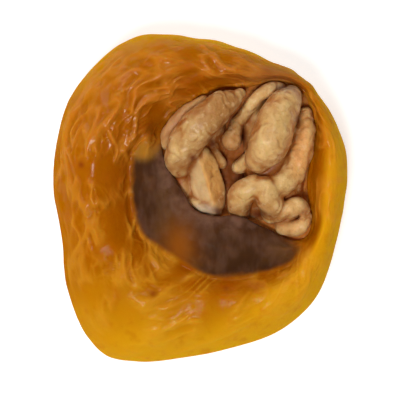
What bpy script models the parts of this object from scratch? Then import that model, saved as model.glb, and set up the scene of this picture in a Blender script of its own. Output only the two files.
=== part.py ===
"""A dried apricot, opened into a pocket and filled with two pieces of walnut kernel.

The fruit is one solid: a closed skin worked out as rings of points, one ring for each place along a
profile that runs from the flat it rests on, out round the flank, up over the rim, down to the mouth
of the pocket and along the inside of the pocket to its floor. Where the edge of the flesh has curled
up against the kernel, the profile has a crease and a flap between the rim and the mouth.

Each piece of kernel is one solid too: rounded lobes swept along paths round a core, grown together.

Lengths below are millimetres and angles are degrees. The part is built in metres, +Z up, with its
origin on the surface it rests on, under the middle of its outline.
"""

import math

import bmesh
import bpy
import numpy as np

MM = 0.001

# The fruit's driving sizes, and where the middle of its mouth is before the outline is centred.
WIDTH = 40.4
LENGTH = 44.9
MOUTH_CENTRE = (4.5, 3.5)

# The underside and flank, as (share of the way out to the outline, height). It rests on the first.
FLANK = ((0.46, 0.0), (0.66, 0.35), (0.85, 1.9), (0.965, 4.2), (1.0, 6.6))
# From the flank up to the crest of the rim, as (share of the crest's inset, share of the way up).
SHOULDER = ((0.10, 0.38), (0.34, 0.72), (0.64, 0.93))
# Inside the pocket, as (share of its widest radius, height), from its widest place to its floor.
POCKET_WALL = ((1.0, 6.8), (0.86, 4.3), (0.50, 3.4))
# The edge of the mouth turns back under itself by this much, outwards and down.
MOUTH_TURN = (0.75, 1.5)

# What changes round the fruit, as (angle, value) knots seen from the middle of the mouth, 0 along +X.
# How far the outline is.
OUTLINE = (
    (0, 15.7), (20, 15.4), (35, 15.3), (50, 15.5), (70, 15.4), (85, 16.2), (105, 18.3), (122, 21.4),
    (140, 23.5), (160, 24.4), (182, 24.7), (203, 25.6), (218, 28.4), (229, 30.3), (236, 30.6),
    (243, 29.3), (254, 26.6), (268, 24.4), (285, 22.8), (300, 21.2), (312, 19.2), (325, 17.2), (342, 15.9),
)
# How far in from the outline the crest of the rim is, and how high it is.
CREST_INSET = (
    (0, 2.7), (35, 1.5), (55, 1.1), (75, 2.6), (100, 4.2), (125, 6.0), (150, 7.4), (180, 6.0), (205, 6.6),
    (222, 9.8), (238, 11.6), (258, 8.2), (285, 5.6), (305, 4.0), (325, 2.5),
)
CREST_HEIGHT = (
    (0, 13.4), (45, 13.6), (80, 14.6), (115, 15.3), (150, 15.4), (185, 14.9), (215, 14.1), (240, 13.1),
    (270, 12.9), (300, 13.0), (330, 12.9),
)
# How far out the edge of the mouth is, and how high.
MOUTH = (
    (3, 10.6), (18, 11.5), (30, 13.0), (41, 13.9), (50, 14.0), (61, 13.5), (74, 12.1), (88, 11.2),
    (106, 11.0), (126, 11.1), (144, 11.3), (158, 11.1), (172, 10.1), (187, 9.1), (203, 8.7), (225, 8.3),
    (245, 7.5), (270, 6.8), (288, 7.9), (299, 9.7), (307, 12.0), (314, 13.4), (325, 13.2), (337, 11.4),
    (350, 10.4),
)
MOUTH_HEIGHT = (
    (0, 10.4), (48, 12.0), (80, 12.6), (120, 12.2), (155, 11.8), (175, 12.8), (200, 13.4), (235, 13.5),
    (270, 13.3), (295, 12.2), (312, 10.4), (335, 9.6),
)
# Where the crease between rim and flap runs, and how high.
CREASE = (
    (0, 12.4), (45, 14.2), (80, 13.0), (130, 12.8), (160, 12.9), (172, 13.7), (195, 14.4), (213, 15.2),
    (235, 14.4), (262, 14.8), (285, 14.5), (300, 14.9), (312, 15.0), (335, 13.4),
)
CREASE_HEIGHT = (
    (0, 12.0), (90, 13.2), (165, 12.4), (200, 12.0), (235, 11.7), (275, 11.5), (300, 11.4), (330, 11.4),
)
# The pocket's widest radius, below the mouth.
POCKET = (
    (0, 11.9), (25, 12.8), (48, 13.6), (75, 12.4), (105, 11.6), (150, 11.6), (190, 10.5), (230, 9.9),
    (270, 9.4), (295, 11.6), (320, 13.6), (340, 12.6),
)
# The flap reaches from one angle to the other, and each end fades over some degrees.
FLAP_FROM, FLAP_TO = 163.0, 309.0
FLAP_END_FADE = 8.0
# The flap rises out of the crease by this much, inwards and up, and its middle stands this high.
FLAP_RISE = (0.9, 1.3)
FLAP_TOP = 14.1
# Shares of the way from crest to mouth at which the stations between them lie.
SLOPE = (0.30, 0.50, 0.66, 0.78, 0.90)
SLOPE_ROUNDING = 1.9

# How many points go round the skin, and how many rings of them start at each station of the profile.
SKIN_AROUND = 92
RINGS = ((0, 3), (3, 6), (6, 10), (10, 8), (14, 4), (16, 4), (19, 0))

# Folds of the dried skin: how far they stand out, and how many go round or how far apart they are.
FLANK_FOLD = 0.2
FLANK_FOLDS = (9, 14, 23)
RIM_FOLD = 0.28
RIM_FOLD_SPACING = 2.3
RIM_FOLD_MIDDLE, RIM_FOLD_REACH = 122.0, 50.0
CREST_FOLD = 0.2
CREST_FOLDS = (19, 31)
UNDER_FOLD = 0.3

# How finely the kernel's lobes are grown together, how lumpy they are, and how many faces are kept.
KERNEL_VOXEL = 0.42
KERNEL_SMOOTHING = 1
KERNEL_KEPT = 0.27
CRINKLE = 0.4
CRINKLE_SIZE = 2.3
KERNEL_SOFTENING = 0.5
LOBE_SIDES = 16
LOBE_RINGS = 26
LEAST_RADIUS = 0.02

# Each piece's middle, and its lobes: paths of (x, y, z, radius) points.
LEFT_MIDDLE = (-0.5, 5.0, 10.0)
LEFT_CORE = (
    ((-1.6, 2.0, 8.6, 3.3), (-0.4, 6.0, 9.2, 3.9), (0.6, 9.3, 10.4, 2.8)),
)
LEFT_LOBES = (
    # the long ridge along the top
    (
        (5.2, 13.3, 13.9, 0.9), (4.2, 12.6, 14.5, 1.4), (2.9, 11.8, 15.0, 1.9), (0.9, 10.1, 15.3, 2.3),
        (-1.1, 8.0, 15.1, 2.45), (-2.5, 6.0, 14.4, 2.2), (-2.9, 4.4, 13.0, 1.7),
    ),
    # the swelling where it ends
    ((-1.6, 6.4, 14.5, 1.9), (-3.1, 5.2, 14.0, 1.8), (-2.9, 3.7, 12.8, 1.5)),
    # the slim fold behind it
    (
        (0.4, 12.4, 12.4, 0.8), (-1.5, 11.4, 12.9, 0.9), (-3.3, 9.7, 12.9, 0.9), (-4.5, 8.0, 12.3, 0.9),
        (-4.8, 6.8, 11.6, 0.8),
    ),
    # a knob at its foot
    ((-2.7, 2.0, 11.6, 1.3), (-2.3, 0.4, 11.0, 1.3), (-1.2, -1.0, 9.8, 1.1)),
    # a low fold in the cleft
    ((0.9, 6.4, 11.4, 0.9), (2.0, 5.2, 11.7, 0.85), (2.9, 4.2, 11.5, 0.8)),
    # a thin flake beside the flap
    ((-1.2, -1.0, 11.7, 0.6), (0.2, -1.8, 12.2, 0.7), (1.5, -2.2, 12.0, 0.7), (2.3, -2.4, 11.4, 0.55)),
)
# The lobe that broke off short, and the line along which its two broken faces meet.
BROKEN_LOBE = (
    (0.2, 4.7, 12.6, 1.8), (0.6, 2.9, 12.8, 2.15), (1.1, 0.9, 12.3, 2.3), (1.4, -0.7, 11.2, 2.0),
    (1.2, -2.2, 9.8, 1.2),
)
BREAK_FROM, BREAK_TO = (0.1, 4.4, 14.9), (1.6, -0.9, 13.3)
BREAK_LEAN = 38.0
RIGHT_MIDDLE = (9.5, 4.5, 10.0)
RIGHT_CORE = (
    ((7.6, 10.2, 9.6, 2.8), (9.6, 6.4, 9.4, 3.9), (9.4, 1.0, 9.2, 3.9), (8.2, -1.4, 8.2, 3.0)),
    ((11.8, 9.6, 10.4, 2.6), (11.8, 3.6, 10.2, 2.5), (11.2, -2.4, 9.2, 2.4)),
)
RIGHT_LOBES = (
    # the kidney-shaped lobe
    (
        (12.2, 12.9, 13.4, 1.6), (11.4, 12.0, 14.5, 2.2), (10.3, 10.1, 15.3, 2.65), (9.5, 7.9, 15.4, 2.8),
        (8.7, 6.0, 15.0, 2.6), (7.8, 4.9, 14.2, 2.0),
    ),
    # the thin fold along its upper side
    (
        (10.8, 14.2, 12.2, 0.75), (9.7, 14.1, 12.8, 0.9), (8.3, 13.4, 13.2, 0.95), (7.1, 12.3, 13.3, 0.95),
        (6.1, 11.1, 12.9, 0.85), (5.7, 10.3, 12.4, 0.8),
    ),
    # the small knob in the cleft, on its neck
    ((5.9, 10.7, 12.2, 0.85), (5.0, 9.6, 12.5, 0.95), (4.5, 8.3, 12.9, 1.15), (4.2, 7.2, 13.1, 1.4)),
    # the lower knob
    ((6.2, 4.6, 11.2, 1.0), (5.1, 3.5, 11.5, 0.95)),
    # the long strand down the right side
    (
        (14.2, 10.7, 12.2, 1.0), (14.3, 8.6, 12.7, 1.25), (13.8, 6.3, 13.0, 1.55), (12.7, 3.8, 13.1, 1.75),
        (11.4, 1.9, 13.3, 1.75), (10.0, 1.0, 13.5, 1.7),
    ),
    # the arch across the lower end, whose two feet go under the flap
    ((5.2, -2.7, 10.0, 1.4), (5.25, -1.3, 12.0, 1.65), (5.7, 0.2, 13.3, 1.8), (7.1, 1.0, 14.0, 1.65)),
    ((7.1, 1.0, 14.0, 1.5), (8.6, 0.6, 14.2, 1.85), (9.4, -0.9, 13.4, 1.8), (9.6, -2.4, 11.6, 1.5)),
    # the two small lobes at the lower right
    ((10.3, -2.5, 11.9, 1.2), (11.7, -2.0, 12.5, 1.3), (13.1, -1.5, 12.4, 1.2), (13.9, -2.0, 11.5, 0.9)),
    (
        (11.1, -4.4, 10.4, 1.0), (12.1, -4.6, 10.9, 1.05), (13.2, -4.4, 11.3, 1.1), (14.0, -3.7, 11.4, 1.0),
        (14.2, -2.9, 11.0, 0.8),
    ),
)

# Colours and roughness
FLESH = (0.62, 0.24, 0.012)
FLESH_ROUGHNESS = 0.38
LEFT_KERNEL = (0.54, 0.32, 0.13)
RIGHT_KERNEL = (0.60, 0.36, 0.15)
KERNEL_ROUGHNESS = 0.5


def smooth_curve(at, values, where):
    """Values along a curve through rising knots, its slope at a knot taken from the two beside it."""
    at = np.asarray(at, float)
    values = np.asarray(values, float)
    slope = np.gradient(values, at, axis=0)
    i = np.clip(np.searchsorted(at, where, side="right") - 1, 0, len(at) - 2)
    span = at[i + 1] - at[i]
    t = (where - at[i]) / span
    shape = (slice(None),) + (None,) * (values.ndim - 1)
    t, span = t[shape], span[shape]
    rise = t * t * (3 - 2 * t)
    return (
        values[i] * (1 - rise)
        + values[i + 1] * rise
        + slope[i] * span * t * (1 - t) ** 2
        - slope[i + 1] * span * t * t * (1 - t)
    )


def around(angle, knots):
    """A value that changes smoothly all the way round, through (degrees, value) knots."""
    degrees, values = np.array(knots, float).T
    degrees = np.concatenate([degrees[-2:] - 360, degrees, degrees[:2] + 360])
    values = np.concatenate([values[-2:], values, values[:2]])
    return smooth_curve(degrees, values, angle)


def flap_share(angle):
    """1 where the flap is, 0 where it isn't, and between at its ends."""
    inside = np.minimum(angle - FLAP_FROM, FLAP_TO - angle) / FLAP_END_FADE
    share = np.clip(inside * 0.5 + 0.5, 0, 1)
    return share * share * (3 - 2 * share)


def mix(a, b, share):
    return a + (b - a) * share


def profile_stations(angle):
    """How far out and how high each station along the profile is, at these angles."""
    outline, inset = around(angle, OUTLINE), around(angle, CREST_INSET)
    crest, crest_high = outline - inset, around(angle, CREST_HEIGHT)
    crease, crease_high = around(angle, CREASE), around(angle, CREASE_HEIGHT)
    mouth, mouth_high = around(angle, MOUTH), around(angle, MOUTH_HEIGHT)
    pocket = around(angle, POCKET)
    flap = flap_share(angle)
    level = np.zeros_like(outline)

    flank = [(share * outline, high + level) for share, high in FLANK]
    widest = FLANK[-1][1]
    shoulder = [(outline - share * inset, mix(widest, crest_high, up)) for share, up in SHOULDER]
    over_flap = (
        (mix(crest, crease, 0.45), mix(crest_high, crease_high, 0.28)),
        (mix(crest, crease, 0.80), mix(crest_high, crease_high, 0.58)),
        (crease, crease_high),
        (crease - FLAP_RISE[0], crease_high + FLAP_RISE[1]),
        (mix(crease, mouth, 0.55), FLAP_TOP + level),
    )
    slope = [
        (
            mix(mix(crest, mouth, share), out, flap),
            mix(mix(crest_high, mouth_high, share ** SLOPE_ROUNDING), high, flap),
        )
        for share, (out, high) in zip(SLOPE, over_flap)
    ]
    turned = (mouth + MOUTH_TURN[0], mouth_high - MOUTH_TURN[1])
    wall = [(share * pocket, high + level) for share, high in POCKET_WALL]
    under_lip = (mix(turned[0], pocket, 0.72), mix(turned[1], wall[0][1], 0.5))
    stations = flank + shoulder + [(crest, crest_high)] + slope
    stations += [(mouth, mouth_high), turned, under_lip] + wall
    return np.array([out for out, high in stations]), np.array([high for out, high in stations])


def near(angle, middle, reach):
    """1 at the middle angle, falling to 0 beyond its reach either way."""
    away = (angle - middle + 180) % 360 - 180
    return np.exp(-((away / reach) ** 2))


def hump(place, middle, reach):
    """1 at a place along the profile, falling to 0 beyond its reach either way."""
    return np.exp(-(((place - middle) / reach) ** 2))


def skin_folds(angle, along, out):
    """How far the dried skin stands out at each ring and angle, for its broad folds."""
    turn = np.radians(angle)[None, :]
    place = along[:, None]
    wander = 0.9 * np.sin(2 * turn + 0.8) + 0.5 * np.sin(5 * turn + 2.1)
    few, some, many = FLANK_FOLDS
    flank = (
        np.sin(few * turn + 0.9 * place + wander) * np.sin(2 * turn + 0.4)
        + 0.8 * np.sin(some * turn - 1.3 * place - 1.4 * wander)
        + 0.6 * np.sin(many * turn + 0.7 * place + 2 * wander) * np.sin(3 * turn + 1.9)
    )
    rim_side = near(angle, RIM_FOLD_MIDDLE, RIM_FOLD_REACH)[None, :]
    weaving = out + 1.3 * np.sin(2 * turn) + 0.7 * np.sin(7 * turn)
    ridges = np.sin(2 * math.pi * weaving / RIM_FOLD_SPACING)
    broad, close = CREST_FOLDS
    crest = (1 - rim_side) * (
        np.sin(broad * turn + 0.8 * place + 1.5 * wander)
        + 0.8 * np.sin(close * turn - 0.9 * place - wander)
    )
    crest = crest * (0.35 + 0.65 * near(angle, 205, 85)[None, :])
    under = np.sin(7 * turn + 1.6 * place) + 0.6 * np.sin(12 * turn - 2.1 * place + 1.1)
    return (
        FLANK_FOLD * (hump(place, 2.7, 0.9) + 0.35 * hump(place, 4.0, 0.8) + hump(place, 5.8, 1.2)) * flank
        + RIM_FOLD * hump(place, 8.4, 2.6) * rim_side * ridges
        + CREST_FOLD * hump(place, 7.8, 2.0) * crest
        + UNDER_FOLD * hump(place, 1.7, 0.8) * under
    )


def even_angles():
    """Angles that cut the outline into pieces of even length."""
    fine = np.arange(0, 720.5, 0.5)
    turn, reach = np.radians(fine), around(fine % 360, OUTLINE)
    walk = np.hypot(np.diff(reach * np.cos(turn)), np.diff(reach * np.sin(turn)))
    length = np.concatenate([[0], np.cumsum(walk)])
    return np.interp(np.arange(SKIN_AROUND) * length[720] / SKIN_AROUND, length, fine)


def ring_places(rings):
    """Where each ring of points lies along the profile."""
    start = np.array([r[0] for r in rings], float)
    count = np.cumsum([0] + [r[1] for r in rings[:-1]])
    return np.interp(np.arange(count[-1] + 1), count, start)


def skin_points():
    """The fruit's skin as rings of points, from the flat it rests on to the pocket's floor."""
    angle = even_angles()
    station_out, station_high = profile_stations(angle)
    along = ring_places(RINGS)
    knots = np.arange(len(station_out), dtype=float)
    out = smooth_curve(knots, station_out, along)
    high = smooth_curve(knots, station_high, along)
    turn = np.radians(angle)[None, :]
    points = np.stack(
        [MOUTH_CENTRE[0] + out * np.cos(turn), MOUTH_CENTRE[1] + out * np.sin(turn), high], axis=-1
    )
    down_the_profile = np.gradient(points, axis=0)
    wrapped = np.concatenate([points[:, -1:], points, points[:, :1]], axis=1)
    round_the_fruit = (wrapped[:, 2:] - wrapped[:, :-2]) / 2
    normal = np.cross(round_the_fruit, down_the_profile)
    normal /= np.maximum(np.linalg.norm(normal, axis=-1, keepdims=True), 1e-9)
    fold = skin_folds(angle, along, out)
    points = points + normal * fold[..., None]
    points[0, :, 2] = 0
    points[:, :, 2] = np.maximum(points[:, :, 2], 0)
    return points


def grid_mesh(name, points):
    """A closed mesh over rings of points, with a flat face over the first ring and over the last."""
    rings, sides = points.shape[:2]
    mesh = bpy.data.meshes.new(name)
    ring = np.arange(rings - 1)[:, None] * sides
    here = np.arange(sides)[None, :]
    after = (here + 1) % sides
    quads = np.stack([ring + here, ring + after, ring + sides + after, ring + sides + here], axis=-1)
    faces = quads.reshape(-1, 4).tolist()
    faces.append(list(range(sides))[::-1])
    faces.append([(rings - 1) * sides + i for i in range(sides)])
    mesh.from_pydata((points.reshape(-1, 3) * MM).tolist(), [], faces)
    mesh.update()
    return mesh


def facing_out(mesh):
    """Turns every face of a closed mesh outwards."""
    work = bmesh.new()
    work.from_mesh(mesh)
    bmesh.ops.recalc_face_normals(work, faces=work.faces[:])
    work.to_mesh(mesh)
    work.free()


def lobe_points(path, sides=LOBE_SIDES, rings=LOBE_RINGS):
    """Rings of points round a path of (x, y, z, radius) knots, drawn in to a rounded end at both ends."""
    path = np.array(path, float)
    step = np.linalg.norm(np.diff(path[:, :3], axis=0), axis=1)
    at = np.concatenate([[0], np.cumsum(step)])
    sweep = 0.5 - 0.5 * np.cos(np.linspace(0, math.pi, rings))
    first, last = path[0, 3], path[-1, 3]
    where = -first + sweep * (at[-1] + first + last)
    inside = np.clip(where, 0, at[-1])
    line = smooth_curve(at, path, inside)
    within = np.clip(where, LEAST_RADIUS, at[-1] - LEAST_RADIUS)
    heading = np.gradient(smooth_curve(at, path[:, :3], within), axis=0)
    ends = np.stack([path[1, :3] - path[0, :3], path[-1, :3] - path[-2, :3]])
    before, beyond = where < 0, where > at[-1]
    heading[before], heading[beyond] = ends[0], ends[1]
    heading /= np.maximum(np.linalg.norm(heading, axis=1, keepdims=True), 1e-9)
    past = where - inside
    middle = line[:, :3] + heading * past[:, None]
    cap = np.where(before, first, last)
    radius = np.where(before | beyond, np.sqrt(np.maximum(cap ** 2 - past ** 2, 0)), line[:, 3])
    radius = np.maximum(radius, LEAST_RADIUS)
    side = np.cross(heading, (0, 0, 1))
    side /= np.maximum(np.linalg.norm(side, axis=1, keepdims=True), 1e-9)
    rise = np.cross(side, heading)
    turn = np.arange(sides) * 2 * math.pi / sides
    ring = side[:, None] * np.cos(turn)[None, :, None] + rise[:, None] * np.sin(turn)[None, :, None]
    return middle[:, None] + ring * radius[:, None, None]


def broken_faces(points):
    """The broken lobe's points, with what lies beyond either broken face pressed back onto it."""
    start = np.array(BREAK_FROM)
    run = np.array(BREAK_TO) - start
    run /= np.linalg.norm(run)
    side = np.cross(run, (0, 0, 1))
    side /= np.linalg.norm(side)
    lean = math.radians(BREAK_LEAN)
    for way in (-1, 1):
        facing = np.cross(side, run) * math.cos(lean) + way * side * math.sin(lean)
        beyond = np.maximum((points - start) @ facing, 0)
        points = points - beyond[..., None] * facing
    return points


def new_object(name, mesh, material, whole):
    thing = bpy.data.objects.new(name, mesh)
    bpy.context.scene.collection.objects.link(thing)
    thing.data.materials.append(material)
    thing.parent = whole
    return thing


def plain_material(name, colour, roughness):
    material = bpy.data.materials.new(name)
    material.use_nodes = True
    shader = material.node_tree.nodes["Principled BSDF"]
    shader.inputs["Base Color"].default_value = (*colour, 1)
    shader.inputs["Roughness"].default_value = roughness
    shader.inputs["Metallic"].default_value = 0
    return material


def placing(skin):
    """How points are moved and stretched in plan to give the fruit its width and length, centred."""
    lo, hi = skin[..., :2].min(axis=(0, 1)), skin[..., :2].max(axis=(0, 1))
    shift = np.array([*(lo + hi) / 2, 0])
    stretch = np.array([WIDTH, LENGTH, 1]) / np.array([*(hi - lo), 1])
    return lambda points: (points - shift) * stretch


def dried_apricot(skin, whole):
    """The fruit: one skin from its flat underside, over the rim and into the pocket."""
    mesh = grid_mesh("dried_apricot", skin)
    facing_out(mesh)
    mesh.shade_smooth()
    return new_object("dried_apricot", mesh, plain_material("apricot_flesh", FLESH, FLESH_ROUGHNESS), whole)


def crinkles():
    """Rounded lumps and dents the size of a kernel's small folds."""
    lumps = bpy.data.textures.new("crinkles", "CLOUDS")
    lumps.noise_scale = CRINKLE_SIZE * MM
    lumps.noise_depth = 1
    return lumps


def walnut_piece(side, lobes, middle, colour, place, whole):
    """A piece of kernel: its lobes and core, given as points, grown into one body."""
    middle = place(np.array(middle))
    together = bmesh.new()
    for points in lobes:
        lobe = grid_mesh("lobe", place(points) - middle)
        facing_out(lobe)
        together.from_mesh(lobe)
        bpy.data.meshes.remove(lobe)
    mesh = bpy.data.meshes.new("walnut_piece_" + side)
    together.to_mesh(mesh)
    together.free()
    material = plain_material("walnut_kernel_" + side, colour, KERNEL_ROUGHNESS)
    piece = new_object("walnut_piece_" + side, mesh, material, whole)
    piece.location = middle * MM
    grow = piece.modifiers.new("grow_together", "REMESH")
    grow.mode = "VOXEL"
    grow.voxel_size = KERNEL_VOXEL * MM
    grow.use_smooth_shade = True
    crinkle = piece.modifiers.new("crinkle", "DISPLACE")
    crinkle.texture = crinkles()
    crinkle.strength = CRINKLE * MM
    soften = piece.modifiers.new("soften", "SMOOTH")
    soften.factor = KERNEL_SOFTENING
    soften.iterations = KERNEL_SMOOTHING
    thin_out = piece.modifiers.new("thin_out", "DECIMATE")
    thin_out.ratio = KERNEL_KEPT
    return piece


def main():
    for thing in list(bpy.data.objects):
        bpy.data.objects.remove(thing)
    whole = bpy.data.objects.new("filled_apricot", None)
    bpy.context.scene.collection.objects.link(whole)
    skin = skin_points()
    place = placing(skin)
    dried_apricot(place(skin), whole)
    left = [lobe_points(path) for path in LEFT_CORE + LEFT_LOBES]
    left.append(broken_faces(lobe_points(BROKEN_LOBE)))
    right = [lobe_points(path) for path in RIGHT_CORE + RIGHT_LOBES]
    walnut_piece("left", left, LEFT_MIDDLE, LEFT_KERNEL, place, whole)
    walnut_piece("right", right, RIGHT_MIDDLE, RIGHT_KERNEL, place, whole)


main()
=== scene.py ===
# %% [markdown]
# # A dried apricot filled with walnut kernel
#
# The solids for this fruit are already made and packed: one body for the apricot and one for each of
# the two pieces of kernel. They are the frame, and this script dresses them. Each solid is replaced by
# a finer surface that follows the same form: skin with its wrinkles, kernel with its folds, and the
# dark flesh that curls up at the mouth. Moist flesh is added between the lobes, where the solids leave
# a gap. Then each surface gets its finish.
#
# Lengths are worked out in millimetres, because a fruit is that size, and turned into metres only when
# they go into a mesh.

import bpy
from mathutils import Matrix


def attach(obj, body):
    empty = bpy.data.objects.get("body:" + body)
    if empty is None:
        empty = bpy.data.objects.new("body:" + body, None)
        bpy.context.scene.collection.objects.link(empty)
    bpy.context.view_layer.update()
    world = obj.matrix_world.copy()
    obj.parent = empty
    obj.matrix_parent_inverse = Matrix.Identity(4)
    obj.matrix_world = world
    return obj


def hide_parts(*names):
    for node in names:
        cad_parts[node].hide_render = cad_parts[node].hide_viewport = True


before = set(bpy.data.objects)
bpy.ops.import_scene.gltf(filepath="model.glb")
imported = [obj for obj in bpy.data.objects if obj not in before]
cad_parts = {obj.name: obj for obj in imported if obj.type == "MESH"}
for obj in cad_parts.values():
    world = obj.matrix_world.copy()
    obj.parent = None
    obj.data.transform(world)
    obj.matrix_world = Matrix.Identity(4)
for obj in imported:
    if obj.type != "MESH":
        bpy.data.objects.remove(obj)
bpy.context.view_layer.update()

# %% Tools
import math
from itertools import product

import bmesh
import bpy
import numpy as np
from mathutils import Vector

MM = 0.001

# %% [markdown]
# ## Camera, floor and light
#
# The fruit is seen from straight above on a white surface. A long lens 30 cm away keeps the sides from
# leaning outwards, as they would under a short lens held close. The light comes from nearly overhead, a
# little below the middle of the view, and a wide soft lamp up and to the left fills the shadows together
# with a pale sky. One large lamp would do, but the folds would lose their glints. A white floor sends
# light back up into the flanks, which is much of what makes the fruit glow.

# %% Camera
def put(name, data):
    """A new object in the scene."""
    thing = bpy.data.objects.new(name, data)
    bpy.context.scene.collection.objects.link(thing)
    return thing


VIEW_WIDTH = 54.0
LENS = 200.0
SENSOR = 36.0
VIEW_MIDDLE = (0.0, -0.3)
RIM_LEVEL = 12.0

camera_data = bpy.data.cameras.new("camera")
camera_data.lens = LENS
camera_data.sensor_width = SENSOR
camera = put("camera", camera_data)
distance = VIEW_WIDTH * LENS / SENSOR
camera.location = (VIEW_MIDDLE[0] * MM, VIEW_MIDDLE[1] * MM, (distance + RIM_LEVEL) * MM)
camera_data.clip_start, camera_data.clip_end = 0.01, 10
bpy.context.scene.camera = camera
print("camera", round(distance), "mm above the rim")


# %% Floor, lamps and sky
def lamp(name, place, size, power, colour):
    """A square lamp at a place in millimetres, turned towards the fruit."""
    data = bpy.data.lights.new(name, "AREA")
    data.size, data.energy, data.color = size * MM, power, colour
    thing = put(name, data)
    thing.location = Vector(place) * MM
    thing.rotation_euler = (-Vector(place)).to_track_quat("-Z", "Y").to_euler()


FLOOR_SIZE = 4000.0
FLOOR_DROP = 0.02
FLOOR_GLOW = 0.62
SKY_STRENGTH = 0.12
lamp("key_lamp", (-60, -150, 520), 110, 1.75, (1.0, 0.985, 0.96))
lamp("side_lamp", (-200, 260, 400), 380, 1.1, (1.0, 0.98, 0.95))
world = bpy.data.worlds.new("sky")
bpy.context.scene.world = world
world.use_nodes = True
world.node_tree.nodes["Background"].inputs["Color"].default_value = (1, 1, 1, 1)
world.node_tree.nodes["Background"].inputs["Strength"].default_value = SKY_STRENGTH
bpy.context.scene.view_settings.view_transform = "Standard"

floor_mesh = bpy.data.meshes.new("floor")
half = FLOOR_SIZE * MM / 2
corners = [(-half, -half, 0), (half, -half, 0), (half, half, 0), (-half, half, 0)]
floor_mesh.from_pydata(corners, [], [(0, 1, 2, 3)])
floor = put("floor", floor_mesh)
floor.location.z = -FLOOR_DROP * MM

# %% [markdown]
# ## How the fruit's form is written down
#
# A stone fruit that was halved, dried and opened is a bag with one mouth. Seen from the middle of the
# mouth, every direction has the same story: the skin starts at the flat spot underneath, goes out
# round the flank, climbs to the crest of the rim, dips to the mouth and turns under into the pocket.
# So the form is a table of stations along that story, and each station's distance and height change
# smoothly with the angle. It could be sculpted by hand, or made with a lattice, but the table keeps
# every number readable, and the fine surface here can be worked out from the same numbers as the
# solid.


# %% Curves through knots
def smooth_curve(at, values, where):
    """Values along a curve through rising knots.

    Between two knots the value is a cubic: a blend of the two values, plus each knot's slope faded out
    towards the other, with the slope at a knot taken from the two beside it.
    """
    at, values = np.asarray(at, float), np.asarray(values, float)
    slope = np.gradient(values, at, axis=0)
    i = np.clip(np.searchsorted(at, where, side="right") - 1, 0, len(at) - 2)
    span = at[i + 1] - at[i]
    t = (where - at[i]) / span
    shape = (slice(None),) + (None,) * (values.ndim - 1)
    t, span = t[shape], span[shape]
    rise = t * t * (3 - 2 * t)
    return (
        values[i] * (1 - rise)
        + values[i + 1] * rise
        + slope[i] * span * t * (1 - t) ** 2
        - slope[i + 1] * span * t * t * (1 - t)
    )


def around(angle, knots):
    """A value that changes smoothly all the way round, through (degrees, value) knots."""
    degrees, values = np.array(knots, float).T
    degrees = np.concatenate([degrees[-2:] - 360, degrees, degrees[:2] + 360])
    values = np.concatenate([values[-2:], values, values[:2]])
    return smooth_curve(degrees, values, angle)


def mix(a, b, share):
    return a + (b - a) * share


def ease(low, high, value):
    """0 below low, 1 above high, and an S-shaped rise between."""
    t = np.clip((value - low) / (high - low), 0, 1)
    return t * t * (3 - 2 * t)


# %% The fruit's numbers, in millimetres and degrees
WIDTH = 40.4
LENGTH = 44.9
MOUTH_CENTRE = (4.5, 3.5)
FLANK = ((0.46, 0.0), (0.66, 0.35), (0.85, 1.9), (0.965, 4.2), (1.0, 6.6))
SHOULDER = ((0.10, 0.38), (0.34, 0.72), (0.64, 0.93))
POCKET_WALL = ((1.0, 6.8), (0.86, 4.3), (0.50, 3.4))
MOUTH_TURN = (0.75, 1.5)
OUTLINE = (
    (0, 15.7), (20, 15.4), (35, 15.3), (50, 15.5), (70, 15.4), (85, 16.2), (105, 18.3), (122, 21.4),
    (140, 23.5), (160, 24.4), (182, 24.7), (203, 25.6), (218, 28.4), (229, 30.3), (236, 30.6),
    (243, 29.3), (254, 26.6), (268, 24.4), (285, 22.8), (300, 21.2), (312, 19.2), (325, 17.2), (342, 15.9),
)
CREST_INSET = (
    (0, 2.7), (35, 1.5), (55, 1.1), (75, 2.6), (100, 4.2), (125, 6.0), (150, 7.4), (180, 6.0), (205, 6.6),
    (222, 9.8), (238, 11.6), (258, 8.2), (285, 5.6), (305, 4.0), (325, 2.5),
)
CREST_HEIGHT = (
    (0, 13.4), (45, 13.6), (80, 14.6), (115, 15.3), (150, 15.4), (185, 14.9), (215, 14.1), (240, 13.1),
    (270, 12.9), (300, 13.0), (330, 12.9),
)
MOUTH = (
    (3, 10.6), (18, 11.5), (30, 13.0), (41, 13.9), (50, 14.0), (61, 13.5), (74, 12.1), (88, 11.2),
    (106, 11.0), (126, 11.1), (144, 11.3), (158, 11.1), (172, 10.1), (187, 9.1), (203, 8.7), (225, 8.3),
    (245, 7.5), (270, 6.8), (288, 7.9), (299, 9.7), (307, 12.0), (314, 13.4), (325, 13.2), (337, 11.4),
    (350, 10.4),
)
MOUTH_HEIGHT = (
    (0, 10.4), (48, 12.0), (80, 12.6), (120, 12.2), (155, 11.8), (175, 12.8), (200, 13.4), (235, 13.5),
    (270, 13.3), (295, 12.2), (312, 10.4), (335, 9.6),
)
CREASE = (
    (0, 12.4), (45, 14.2), (80, 13.0), (130, 12.8), (160, 12.9), (172, 13.7), (195, 14.4), (213, 15.2),
    (235, 14.4), (262, 14.8), (285, 14.5), (300, 14.9), (312, 15.0), (335, 13.4),
)
CREASE_HEIGHT = (
    (0, 12.0), (90, 13.2), (165, 12.4), (200, 12.0), (235, 11.7), (275, 11.5), (300, 11.4), (330, 11.4),
)
POCKET = (
    (0, 11.9), (25, 12.8), (48, 13.6), (75, 12.4), (105, 11.6), (150, 11.6), (190, 10.5), (230, 9.9),
    (270, 9.4), (295, 11.6), (320, 13.6), (340, 12.6),
)
FLAP_FROM, FLAP_TO = 163.0, 309.0
FLAP_END_FADE = 8.0
FLAP_RISE = (0.9, 1.3)
FLAP_TOP = 14.1
SLOPE = (0.30, 0.50, 0.66, 0.78, 0.90)
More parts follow.
